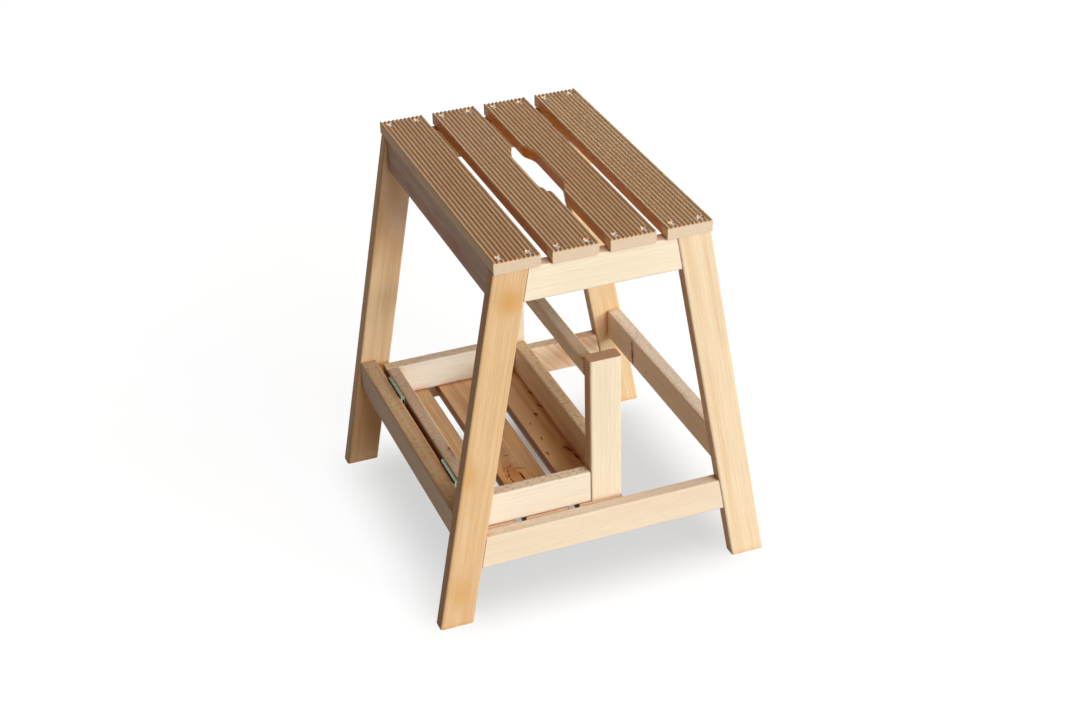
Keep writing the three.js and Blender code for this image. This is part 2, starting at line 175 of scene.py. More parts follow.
def make_figure_group():
    """Growth rings, fine lines, long streaks, clouds, fibres and pore flecks, each from 0 to 1."""
    group = bpy.data.node_groups.new("wood_figure", "ShaderNodeTree")
    face = group.interface
    face.new_socket("Vector", in_out="INPUT", socket_type="NodeSocketVector")
    for name in ("Pith X", "Pith Y", "Ring Width", "Warp", "Bulge"):
        face.new_socket(name, in_out="INPUT", socket_type="NodeSocketFloat")
    for name in ("Rings", "Lines", "Streaks", "Clouds", "Fibres", "Flecks"):
        face.new_socket(name, in_out="OUTPUT", socket_type="NodeSocketFloat")
    source = add_node(group, "NodeGroupInput").outputs
    vector = source["Vector"]

    # The rings wander, slowly along the grain and faster across it
    wander = noise(group, vector, WANDER_SCALE)
    wander = math_node(group, "MULTIPLY", math_node(group, "SUBTRACT", wander, 0.5), source["Warp"])
    parts = add_node(group, "ShaderNodeSeparateXYZ", {0: vector}).outputs
    x = math_node(group, "ADD", parts[0], source["Pith X"])
    y = math_node(group, "ADD", parts[1], source["Pith Y"])
    squares = math_node(group, "ADD", math_node(group, "MULTIPLY", x, x),
                        math_node(group, "MULTIPLY", y, y))
    radius = math_node(group, "ADD", math_node(group, "SQRT", squares), wander)
    radius = math_node(group, "ADD", radius, source["Bulge"])
    turns = math_node(group, "DIVIDE", radius, source["Ring Width"])
    share = math_node(group, "FRACT", turns)
    rise = smooth_range(group, share, 0.0, RING_RISE_END)
    fall = smooth_range(group, share, RING_FALL_START, 1.0, 1.0, 0.0)
    strength = add_node(
        group, "ShaderNodeTexWhiteNoise", {"W": math_node(group, "FLOOR", turns)},
        noise_dimensions="1D",
    ).outputs["Value"]
    strength = math_node(group, "MULTIPLY_ADD", strength, 1 - FAINTEST_RING, FAINTEST_RING)
    rings = math_node(group, "MULTIPLY", math_node(group, "MULTIPLY", rise, fall), strength)

    lines = smooth_range(group, noise(group, vector, LINE_SCALE, 3.0, 0.65), 0.35, 0.68)
    streaks = smooth_range(group, noise(group, vector, STREAK_SCALE, 3.0, 0.55), 0.42, 0.68)
    clouds = smooth_range(group, noise(group, vector, CLOUD_SCALE), 0.3, 0.72)
    fibres = noise(group, vector, FIBRE_SCALE, 2.0, 0.6)
    pores = noise(group, vector, PORE_SCALE, 1.0)
    flecks = smooth_range(group, pores, 0.66, 0.78)
    outputs = {
        "Rings": rings, "Lines": lines, "Streaks": streaks, "Clouds": clouds,
        "Fibres": fibres, "Flecks": flecks,
    }
    add_node(group, "NodeGroupOutput", outputs)
    return group


FIGURE = make_figure_group()
ALONG_X = Vector((1, 0, 0))
ALONG_Y = Vector((0, 1, 0))
ALONG_Z = Vector((0, 0, 1))
# Millimetres: the half depth of a mark that goes right through its piece
THROUGH = 60


def mark_distance(tree, coords, at, size, turn=(0, 0, 0)):
    """How far a point is from the middle of a mark: 1 at the mark's edge. Millimetres, degrees."""
    place = add_node(
        tree,
        "ShaderNodeMapping",
        {
            "Vector": coords,
            "Location": Vector(at) * MM,
            "Rotation": [math.radians(angle) for angle in turn],
            "Scale": Vector(size) * MM,
        },
        vector_type="TEXTURE",
    )
    return vector_node(tree, "LENGTH", place.outputs[0])


# Painted shade where pieces meet and in narrow gaps: colour darkened the more closed in a point is
CREVICE_REACH = 0.012
WOOD_CREVICE_SHADE = (0.52, 0.27, 0.13, 1.0)
LEG_CREVICE_SHADE = (0.84, 0.66, 0.52, 1.0)
ORANGE_CREVICE_SHADE = (0.86, 0.60, 0.42, 1.0)
HINGE_CREVICE_SHADE = (0.06, 0.07, 0.06, 1.0)
SCREW_CREVICE_SHADE = (0.60, 0.60, 0.62, 1.0)
CREVICE_SAMPLES = 4

# Edges of the near legs, rounded by wear: full up to one width, gone at the next, in metres
WORN_EDGE_FULL = 0.0014
WORN_EDGE_GONE = 0.0026
EDGE_LEAN = 1.3


def paint_crevice_shade(tree, color, tint, closed=0.25, open_air=0.9):
    openness = add_node(
        tree, "ShaderNodeAmbientOcclusion", {"Distance": CREVICE_REACH}, samples=CREVICE_SAMPLES
    ).outputs["AO"]
    share = smooth_range(tree, openness, closed, open_air, 1.0, 0.0)
    return mix_colors(tree, share, color, tint, "MULTIPLY")


# Tones of knots and stains; the pale tone also serves as painted light
KNOT_CORE = srgb(138, 24, 4)
KNOT_RED = srgb(172, 74, 30)
RED_STAIN = srgb(196, 120, 74)
AMBER = srgb(214, 158, 92)
PALE_STAIN_AND_PAINTED_LIGHT = srgb(250, 226, 200)
DARK_SPECK = srgb(158, 104, 58)
REDDISH = srgb(170, 106, 78)


def draw_marks(tree, coords, color, marks):
    """Knots, stains, cracks, and painted light and shade: each has a place, a size, a tone, a share
    and a soft edge.
    """
    for mark in marks:
        distance = mark_distance(tree, coords, mark["at"], mark["size"], mark.get("turn", (0, 0, 0)))
        share = smooth_range(tree, distance, mark.get("solid", 0.2), 1.0, mark.get("share", 1.0), 0.0)
        color = mix_colors(tree, share, color, mark["tone"])
    return color


def bulge_from(tree, coords, bulges):
    """The rings bend round each knot."""
    total = None
    for bulge in bulges:
        distance = mark_distance(tree, coords, bulge["at"], bulge["size"])
        push = smooth_range(tree, distance, 0.0, 1.0, bulge["push"] * MM, 0.0)
        total = push if total is None else math_node(tree, "ADD", total, push)
    return total


def near_edge(tree, coords, edge_y):
    """1 within a worn edge's width of the outer face, 0 further in."""
    along_y = add_node(tree, "ShaderNodeSeparateXYZ", {0: coords}).outputs[1]
    inwards = math_node(tree, "ABSOLUTE", math_node(tree, "SUBTRACT", along_y, edge_y))
    return smooth_range(tree, inwards, WORN_EDGE_FULL, WORN_EDGE_GONE, 1.0, 0.0)


def lean_outwards(tree, coords, edge_y):
    """A normal that leans towards the outer face along a worn edge, as on a rounded one."""
    normal = add_node(tree, "ShaderNodeNewGeometry").outputs["Normal"]
    share = near_edge(tree, coords, edge_y)
    lean = add_node(tree, "ShaderNodeCombineXYZ", {1: math_node(tree, "MULTIPLY", share, -EDGE_LEAN)})
    return vector_node(tree, "NORMALIZE", vector_node(tree, "ADD", normal, lean.outputs[0]))


# Marks get uneven outlines from this noise, in metres
UNEVEN_SCALE = (130, 130, 130)
UNEVEN_REACH = 0.005
# Each piece takes its figure from another part of the noise
SEED_STEP = (0.37, 0.61, 1.93)
# Brightness of the fibres, darkest and palest
FIBRE_TONE = (0.94, 1.05)
# End grain begins and is full where a face looks this much along the grain
END_GRAIN_START = 0.7
END_GRAIN_FULL = 0.95
SPECKLE_SCALE = (900, 900, 900)
SPECKLE_SHARE = 0.35
FIBRE_HEIGHT = 0.7
RING_HEIGHT = 0.3
WOOD_BUMP = {"Strength": 0.12, "Distance": 0.0006}
WOOD_SPECULAR = 0.15


def wood(
    name, middle, grain, light, dark, seed,
    pith=(0.08, 0.03), ring_width=0.0045, warp=0.008, ring_depth=0.5, line_depth=0.25,
    warm=RED_STAIN, streak_depth=0.15, cloud_depth=0.2, fleck_depth=0.3,
    end=None, end_depth=0.75, roughness=0.55, marks=(), bulges=(), finish=None,
    crevice_shade=WOOD_CREVICE_SHADE, worn_edge_y=None,
):
    """A wood for one piece: its middle, its grain direction, its tones and its own figure."""
    material = bpy.data.materials.new(name)
    material.use_nodes = True
    tree = material.node_tree
    tree.nodes.clear()
    source = add_node(tree, "ShaderNodeTexCoord").outputs
    coords = source["Object"]
    normal = source["Normal"]
    wobble = noise_node(tree, coords, UNEVEN_SCALE).outputs["Color"]
    wobble = vector_node(tree, "SUBTRACT", wobble, (0.5, 0.5, 0.5))
    wobble = vector_node(tree, "MULTIPLY", wobble, (UNEVEN_REACH,) * 3)
    uneven = vector_node(tree, "ADD", coords, wobble)

    turn = grain.normalized().rotation_difference(ALONG_Z).to_matrix()
    shift = turn @ -Vector(middle)
    seeded = shift + Vector([step * seed for step in SEED_STEP])
    offset = seeded - shift
    place = add_node(
        tree,
        "ShaderNodeMapping",
        {"Vector": coords, "Location": seeded, "Rotation": turn.to_euler()},
        vector_type="POINT",
    )
    inputs = {
        "Vector": place.outputs[0],
        "Pith X": pith[0] - offset.x,
        "Pith Y": pith[1] - offset.y,
        "Ring Width": ring_width,
        "Warp": warp,
    }
    if bulges:
        inputs["Bulge"] = bulge_from(tree, uneven, bulges)
    figure = tree.nodes.new("ShaderNodeGroup")
    figure.node_tree = FIGURE
    for key, value in inputs.items():
        if isinstance(value, bpy.types.NodeSocket):
            tree.links.new(value, figure.inputs[key])
        else:
            figure.inputs[key].default_value = value
    rings, lines, streaks, clouds, fibres, flecks = figure.outputs[:6]

    color = mix_colors(tree, math_node(tree, "MULTIPLY", rings, ring_depth), light, dark)
    color = mix_colors(tree, math_node(tree, "MULTIPLY", lines, line_depth), color, dark)
    color = mix_colors(tree, math_node(tree, "MULTIPLY", streaks, streak_depth), color, warm)
    color = mix_colors(tree, math_node(tree, "MULTIPLY", clouds, cloud_depth), color, dark)
    tone = smooth_range(tree, fibres, 0.25, 0.75, *FIBRE_TONE)
    tint = add_node(tree, "ShaderNodeCombineColor", {0: tone, 1: tone, 2: tone}).outputs[0]
    color = mix_colors(tree, 1.0, color, tint, "MULTIPLY")
    color = mix_colors(tree, math_node(tree, "MULTIPLY", flecks, fleck_depth), color, dark)
    color = draw_marks(tree, uneven, color, marks)

    # End grain where a face looks along the grain
    facing = vector_node(tree, "DOT_PRODUCT", normal, grain.normalized())
    facing = math_node(tree, "ABSOLUTE", facing)
    across = smooth_range(tree, facing, END_GRAIN_START, END_GRAIN_FULL)
    speckle = noise(tree, coords, SPECKLE_SCALE, 3.0, 0.7)
    speckle = smooth_range(tree, speckle, 0.35, 0.7, 0.0, SPECKLE_SHARE)
    end_color = mix_colors(tree, speckle, end or dark, dark)
    color = mix_colors(tree, math_node(tree, "MULTIPLY", across, end_depth), color, end_color)
    if finish:
        color = finish(tree, coords, normal, color)
    # Painted shade in gaps and corners, left off the end grain
    closed = paint_crevice_shade(tree, color, crevice_shade)
    color = mix_colors(tree, across, closed, color)

    height = math_node(tree, "ADD", math_node(tree, "MULTIPLY", fibres, FIBRE_HEIGHT),
                       math_node(tree, "MULTIPLY", rings, RING_HEIGHT))
    bump = add_node(tree, "ShaderNodeBump", {"Height": height, **WOOD_BUMP})
    if worn_edge_y:
        tree.links.new(lean_outwards(tree, coords, worn_edge_y), bump.inputs["Normal"])
    shine = smooth_range(tree, fibres, 0.2, 0.8, roughness + 0.06, roughness - 0.05)
    shader = add_node(
        tree,
        "ShaderNodeBsdfPrincipled",
        {"Base Color": color, "Roughness": shine, "Normal": bump.outputs[0]},
    )
    shader.inputs["Specular IOR Level"].default_value = WOOD_SPECULAR
    add_node(tree, "ShaderNodeOutputMaterial", {"Surface": shader.outputs[0]})
    return material


ZINC_CLOUD_SCALE = (420, 420, 420)
ZINC_SCRATCH_SCALE = (2600, 300, 2600)
# Brightness of the plating, darkest and palest
ZINC_TONE = (0.78, 1.06)
ZINC_BUMP = {"Strength": 0.1, "Distance": 0.0002}
# Painted shade for a hinge's rear side and a painted highlight for its end
REAR_SIDE_SHADE = (0.30, 0.38, 0.32, 1.0)
END_HIGHLIGHT = srgb(226, 250, 226)
END_HIGHLIGHT_SHARE = 0.9


def metal(name, color, roughness, crevice_shade, side_shade_and_highlight=False):
    """Zinc plating: cool, brushed, a little uneven. A hinge gets painted shade on its rear side and a
    painted highlight on its end.
    """
    material = bpy.data.materials.new(name)
    material.use_nodes = True
    tree = material.node_tree
    tree.nodes.clear()
    source = add_node(tree, "ShaderNodeTexCoord").outputs
    coords = source["Object"]
    normal = source["Normal"]
    cloud = noise(tree, coords, ZINC_CLOUD_SCALE, 3.0, 0.6)
    scratch = noise(tree, coords, ZINC_SCRATCH_SCALE)
    shade = smooth_range(tree, cloud, 0.3, 0.7, *ZINC_TONE)
    tint = add_node(tree, "ShaderNodeCombineColor", {0: shade, 1: shade, 2: shade}).outputs[0]
    base = mix_colors(tree, 1.0, color, tint, "MULTIPLY")
    # Painted shade in the metal's gaps and corners
    base = paint_crevice_shade(tree, base, crevice_shade)
    if side_shade_and_highlight:
        # Painted shade on the side facing +X, a painted highlight on the end facing -Y
        looks = add_node(tree, "ShaderNodeSeparateXYZ", {0: normal}).outputs
        rear = smooth_range(tree, looks[0], 0.05, 0.6)
        base = mix_colors(tree, rear, base, REAR_SIDE_SHADE, "MULTIPLY")
        end = smooth_range(tree, looks[1], -0.9, -0.6, 1.0, 0.0)
        base = mix_colors(tree, end, base, END_HIGHLIGHT)
        bright = math_node(tree, "MULTIPLY", end, END_HIGHLIGHT_SHARE)
        plated = math_node(tree, "SUBTRACT", 1.0, bright)
    shine = smooth_range(tree, scratch, 0.3, 0.7, roughness - 0.06, roughness + 0.12)
    bump = add_node(tree, "ShaderNodeBump", {"Height": scratch, **ZINC_BUMP})
    shader = add_node(
        tree,
        "ShaderNodeBsdfPrincipled",
        {"Base Color": base, "Roughness": shine, "Normal": bump.outputs[0]},
    )
    shader.inputs["Metallic"].default_value = 1.0
    if side_shade_and_highlight:
        tree.links.new(plated, shader.inputs["Metallic"])
    add_node(tree, "ShaderNodeOutputMaterial", {"Surface": shader.outputs[0]})
    return material


def dress(node_name, material):
    slots = nodes[node_name].data.materials
    slots.clear()
    slots.append(material)


# Smooth shading over small roundings, crisp at real edges
MERGE_REACH = 0.000002
CRISP_ANGLE = math.radians(34)
FLAT_FACE_WEIGHT = 80


def make_smoothing():
    group = bpy.data.node_groups.new("soft_edges", "GeometryNodeTree")
    group.interface.new_socket("Geometry", in_out="INPUT", socket_type="NodeSocketGeometry")
    group.interface.new_socket("Geometry", in_out="OUTPUT", socket_type="NodeSocketGeometry")
    source = add_node(group, "NodeGroupInput").outputs[0]
    bare = add_node(
        group, "GeometryNodeRemoveAttribute", {"Geometry": source, "Name": "custom_normal"}
    ).outputs[0]
    merged = add_node(
        group, "GeometryNodeMergeByDistance", {"Geometry": bare, "Distance": MERGE_REACH}
    ).outputs[0]
    smooth = add_node(
        group, "GeometryNodeSetShadeSmooth",
        {"Geometry": merged, "Shade Smooth": True}, domain="FACE",
    ).outputs[0]
    angle = add_node(group, "GeometryNodeInputMeshEdgeAngle").outputs["Unsigned Angle"]
    sharp = add_node(
        group, "FunctionNodeCompare", {0: angle, 1: CRISP_ANGLE},
        data_type="FLOAT", operation="GREATER_THAN",
    ).outputs[0]
    crisp = add_node(
        group, "GeometryNodeSetShadeSmooth",
        {"Geometry": smooth, "Selection": sharp, "Shade Smooth": False}, domain="EDGE",
    ).outputs[0]
    add_node(group, "NodeGroupOutput", {0: crisp})
    return group


def soften(piece, group):
    modifier = piece.modifiers.new("soft_edges", "NODES")
    modifier.node_group = group
    weighted = piece.modifiers.new("flat_faces", "WEIGHTED_NORMAL")
    weighted.mode = "FACE_AREA"
    weighted.weight = FLAT_FACE_WEIGHT
    weighted.keep_sharp = True


# Tones of the timbers, light and dark
RAIL = (srgb(248, 228, 200), srgb(228, 194, 156))
# The seat slats' tones grow paler from the first to the fourth, as painted light falling from +X
SEAT_SLATS = [
    (srgb(231, 200, 162), srgb(199, 152, 107)),
    (srgb(240, 212, 175), srgb(206, 161, 116)),
    (srgb(245, 216, 176), srgb(210, 165, 118)),
    (srgb(255, 234, 197), srgb(228, 184, 136)),
]
# The third tread's tones are paler, as painted light against the shade of the rear rail
TREAD_SLATS = [
    (srgb(236, 202, 156), srgb(196, 150, 100)),
    (srgb(252, 214, 164), srgb(212, 158, 102)),
    (srgb(255, 226, 186), srgb(228, 176, 128)),
]
END_WOOD = srgb(170, 128, 96)
POST_END = srgb(174, 130, 103)
SLAT_END = srgb(227, 200, 173)
# Near white: painted light on the tread ends, which the lower rail shades
TREAD_END_PAINTED_LIGHT = srgb(252, 236, 224)
FRESH_WOOD = srgb(246, 206, 160)
# Painted shade in the rib grooves, and warm painted shade on the sides between the seat slats
GROOVE_SHADE = (0.72, 0.57, 0.44, 1.0)
GAP_SIDE_SHADE = (0.86, 0.52, 0.24, 1.0)
# Darker along the seat slats' far rim
FAR_RIM_DARK = (0.36, 0.29, 0.24, 1.0)
# Painted shade on the treads' sides: paler low down, painted shadow lines, darkest under the near rail
TREAD_SIDE_SHADE = (0.60, 0.44, 0.36, 1.0)
TREAD_LOW_SIDE_SHADE = (0.76, 0.64, 0.54, 1.0)
TREAD_SHADOW_LINE = (0.30, 0.18, 0.10, 1.0)
TREAD_NOTCH_SHADE = (0.14, 0.07, 0.08, 1.0)

LEG_OUTER_Y = -0.191
SPLAY_RUN = 77.8 / 435.2
LEG_GRAIN = {
    "front": Vector((SPLAY_RUN, 0, 1)),
    "rear": Vector((-SPLAY_RUN, 0, 1)),
}

# Seat slats and treads, in metres: ribs, screw holes, ends and the stretches that get painted shade
SEAT_RIB_HIGH = 0.4499
SEAT_RIB_LOW = 0.4484
TREAD_RIB_HIGH = 0.0888
TREAD_RIB_LOW = 0.0903
HOLE_OFFSET = 0.0165
HOLE_REACH = 0.0048
SEAT_HOLE_Y = 0.182
SEAT_END_Y = 0.1925
SEAT_MIDDLE_REACH = 0.07
RIB_MARGIN = 0.0003
RIM_DEPTH = 0.0008
RIM_BLUR = 0.0002
RIM_SHARE = 0.7
GAP_SHADE_Y = (0.174, 0.181)
GAP_SHADE_Z = (0.4455, 0.448)
FAR_RIM_REACH = (0.0028, 0.0012)
FAR_RIM_SHARE = 0.85
TREAD_HOLE_Y = 0.153
TREAD_CENTER_X = -0.0583
TREAD_CENTER_REACH = 0.02
TREAD_SHADOW_LINE_Z = 0.0962
TREAD_SHADOW_LINE_REACH = (0.0006, 0.0018)
TREAD_UPPER_Z = (0.0955, 0.0965)
TREAD_EDGE_X = (0.0246, 0.0252)
TREAD_EDGE_Z = 0.1012
BEYOND_RAIL_Y = (-0.148, -0.144)

# Marks on the treads' flat upper side, in millimetres
TREAD_TOP_Z = 103.2
TREAD_MARK_DEPTH = 12


def middle_of(node_name):
    low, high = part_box(node_name)
    return (low + high) / 2


def slat_finish(middle_x, rib_high, rib_low, hole_y, seat=False):
    """Painted shade in the grooves between the ribs and on the sides, an amber rim at the ends and
    fresh wood in the holes.
    """
    upwards = 1 if rib_high > rib_low else -1

    def finish(tree, coords, normal, color):
        parts = add_node(tree, "ShaderNodeSeparateXYZ", {0: coords}).outputs
        looks = add_node(tree, "ShaderNodeSeparateXYZ", {0: normal}).outputs
        across = smooth_range(tree, math_node(tree, "ABSOLUTE", looks[1]), 0.93, 0.99)
        height = math_node(tree, "MULTIPLY", parts[2], upwards)
        low = rib_low * upwards
        high = rib_high * upwards
        # Painted shade in the grooves between the ribs
        groove = smooth_range(tree, height, low, high, 1.0, 0.0)
        sunk = math_node(tree, "GREATER_THAN", height, low - RIB_MARGIN)
        flat = math_node(tree, "SUBTRACT", 1.0, across)
        groove = math_node(tree, "MULTIPLY", math_node(tree, "MULTIPLY", groove, sunk), flat)
        color = mix_colors(tree, groove, color, GROOVE_SHADE, "MULTIPLY")
        rim = smooth_range(tree, height, low - RIM_DEPTH, low + RIM_BLUR)
        rim = math_node(tree, "MULTIPLY", math_node(tree, "MULTIPLY", rim, across), RIM_SHARE)
        color = mix_colors(tree, rim, color, AMBER)
        along_x = math_node(tree, "ABSOLUTE", math_node(tree, "SUBTRACT", parts[0], middle_x))
        along_x = math_node(tree, "SUBTRACT", along_x, HOLE_OFFSET)
        along_y = math_node(tree, "SUBTRACT", math_node(tree, "ABSOLUTE", parts[1]), hole_y)
        reach = math_node(tree, "SQRT", math_node(
            tree, "ADD", math_node(tree, "MULTIPLY", along_x, along_x),
            math_node(tree, "MULTIPLY", along_y, along_y)
        ))
        steep = smooth_range(tree, math_node(tree, "ABSOLUTE", looks[2]), 0.5, 0.7, 1.0, 0.0)
        hole = math_node(tree, "LESS_THAN", reach, HOLE_REACH)
        hole = math_node(tree, "MULTIPLY", hole, steep)
        tint_sides = paint_gap_side_shade if seat else paint_tread_side_shade
        color = tint_sides(tree, color, parts, looks[0], middle_x)
        return mix_colors(tree, hole, color, FRESH_WOOD)

    return finish


def paint_gap_side_shade(tree, color, parts, facing_x, middle_x):
    """Warm orange painted shade on the sides between the seat slats, and the far rim darkened."""
    side = smooth_range(tree, math_node(tree, "ABSOLUTE", facing_x), 0.7, 0.9)
    outwards = math_node(tree, "MULTIPLY", facing_x, 1 if middle_x > 0 else -1)
    if abs(middle_x) > SEAT_MIDDLE_REACH:
        side = math_node(tree, "MULTIPLY", side, math_node(tree, "LESS_THAN", outwards, 0.0))
    along = math_node(tree, "ABSOLUTE", parts[1])
    side = math_node(tree, "MULTIPLY", side, smooth_range(tree, along, *GAP_SHADE_Y, 1.0, 0.0))
    side = math_node(tree, "MULTIPLY", side, smooth_range(tree, parts[2], *GAP_SHADE_Z, 1.0, 0.0))
    color = mix_colors(tree, side, color, GAP_SIDE_SHADE, "MULTIPLY")
    start, full = (SEAT_END_Y - reach for reach in FAR_RIM_REACH)
    rim = smooth_range(tree, parts[1], start, full, 0.0, FAR_RIM_SHARE)
    return mix_colors(tree, rim, color, FAR_RIM_DARK, "MULTIPLY")


def paint_tread_side_shade(tree, color, parts, facing_x, middle_x):
    """Painted shade on the sides between the treads, paler low down, with a painted shadow line
    half-way and along the upper +X edge, darkest beyond the right rail.
    """
    side = smooth_range(tree, math_node(tree, "ABSOLUTE", facing_x), 0.6, 0.9)
    from_center = middle_x - TREAD_CENTER_X
    if abs(from_center) > TREAD_CENTER_REACH:
        inwards = math_node(tree, "MULTIPLY", facing_x, -1 if from_center > 0 else 1)
        side = math_node(tree, "MULTIPLY", side, math_node(tree, "GREATER_THAN", inwards, 0.0))
    high = smooth_range(tree, parts[2], *TREAD_UPPER_Z)
    tint = mix_colors(tree, high, TREAD_LOW_SIDE_SHADE, TREAD_SIDE_SHADE)
    from_line = math_node(tree, "ABSOLUTE", math_node(tree, "SUBTRACT", parts[2], TREAD_SHADOW_LINE_Z))
    line = smooth_range(tree, from_line, *TREAD_SHADOW_LINE_REACH, 1.0, 0.0)
    tint = mix_colors(tree, line, tint, TREAD_SHADOW_LINE)
    color = mix_colors(tree, side, color, tint, "MULTIPLY")
    start, full = (middle_x + reach for reach in TREAD_EDGE_X)
    edge = smooth_range(tree, parts[0], start, full)
    edge = math_node(tree, "MULTIPLY", edge, math_node(tree, "GREATER_THAN", parts[2], TREAD_EDGE_Z))
    color = mix_colors(tree, edge, color, TREAD_SHADOW_LINE, "MULTIPLY")
    beyond = smooth_range(tree, parts[1], *BEYOND_RAIL_Y, 1.0, 0.0)
    beyond = math_node(tree, "MULTIPLY", side, beyond)
    return mix_colors(tree, beyond, color, TREAD_NOTCH_SHADE, "MULTIPLY")


DARK_SPECK_SCALE = (260, 260, 260)
AMBER_SPECK_SCALE = (340, 300, 280)


def painted_top_light_and_specks(tint, specks):
    """A rough-sawn top: a greyer tone on the top face, as painted light and shade, with dark specks
    and a few amber ones.
    """

    def finish(tree, coords, normal, color):
        upwards = add_node(tree, "ShaderNodeSeparateXYZ", {0: normal}).outputs[2]
        # Painted light and shade on the top face: its tint lightens some tops and darkens others
        top = smooth_range(tree, upwards, 0.75, 0.95)
        color = mix_colors(tree, top, color, tint, "MULTIPLY")
        dark = smooth_range(tree, noise(tree, coords, DARK_SPECK_SCALE, 3.0, 0.6), 0.52, 0.66)
        amber = smooth_range(tree, noise(tree, coords, AMBER_SPECK_SCALE, 2.0, 0.6), 0.56, 0.64)
        share = math_node(tree, "MULTIPLY", top, specks)
        color = mix_colors(tree, math_node(tree, "MULTIPLY", dark, share), color, DARK_SPECK)
        return mix_colors(tree, math_node(tree, "MULTIPLY", amber, share), color, AMBER)

    return finish


def shaded_side(tint, top=None, edge_y=None):
    """Painted shade on the side that faces the front, -X, up to an edge that stays pale."""

    def finish(tree, coords, normal, color):
        looks = add_node(tree, "ShaderNodeSeparateXYZ", {0: normal}).outputs
        side = smooth_range(tree, looks[0], -0.9, -0.4, 1.0, 0.0)
        if edge_y:
            inside = math_node(tree, "SUBTRACT", 1.0, near_edge(tree, coords, edge_y))
            side = math_node(tree, "MULTIPLY", side, inside)
        # Painted shade on the -X side
        color = mix_colors(tree, side, color, tint, "MULTIPLY")
        if top:
            color = painted_top_light_and_specks(*top)(tree, coords, normal, color)
        return color

    return finish


def dress_wood(node_name, grain, tones, seed, **figure):
    light, dark = tones
    dress(
        node_name,
        wood(f"wood_{node_name}", middle_of(node_name), grain, light, dark, seed, **figure),
    )


def tone_patch(at, size, tone, share=0.7, solid=0.1, turn=(0, 0, 0)):
    return {"at": at, "size": size, "tone": tone, "share": share, "solid": solid, "turn": turn}


def widened(size, times):
    """A mark's size made wider, but not deeper where it already goes through."""
    return [width * times if width < THROUGH else width for width in size]


def knot(at, size, halo=2.2, ring=1.3):
    """A red-brown halo, a redder ring and a nearly black heart."""
    return [
        tone_patch(at, widened(size, halo), KNOT_RED, 0.55, 0.0),
        tone_patch(at, widened(size, ring), KNOT_RED, 0.8, 0.4),
        tone_patch(at, size, KNOT_CORE, 0.95, 0.35),
    ]


def stroke(start, end, half_width, tone, share=0.8, solid=0.2):
    """A straight stroke drawn on the treads' flat upper side."""
    along = Vector(end) - Vector(start)
    middle = (Vector(start) + Vector(end)) / 2
    turn = math.degrees(math.atan2(-along.x, along.y))
    size = (half_width, along.length / 2 + half_width, TREAD_MARK_DEPTH)
    return tone_patch((middle.x, middle.y, TREAD_TOP_Z), size, tone, share, solid, (0, 0, turn))


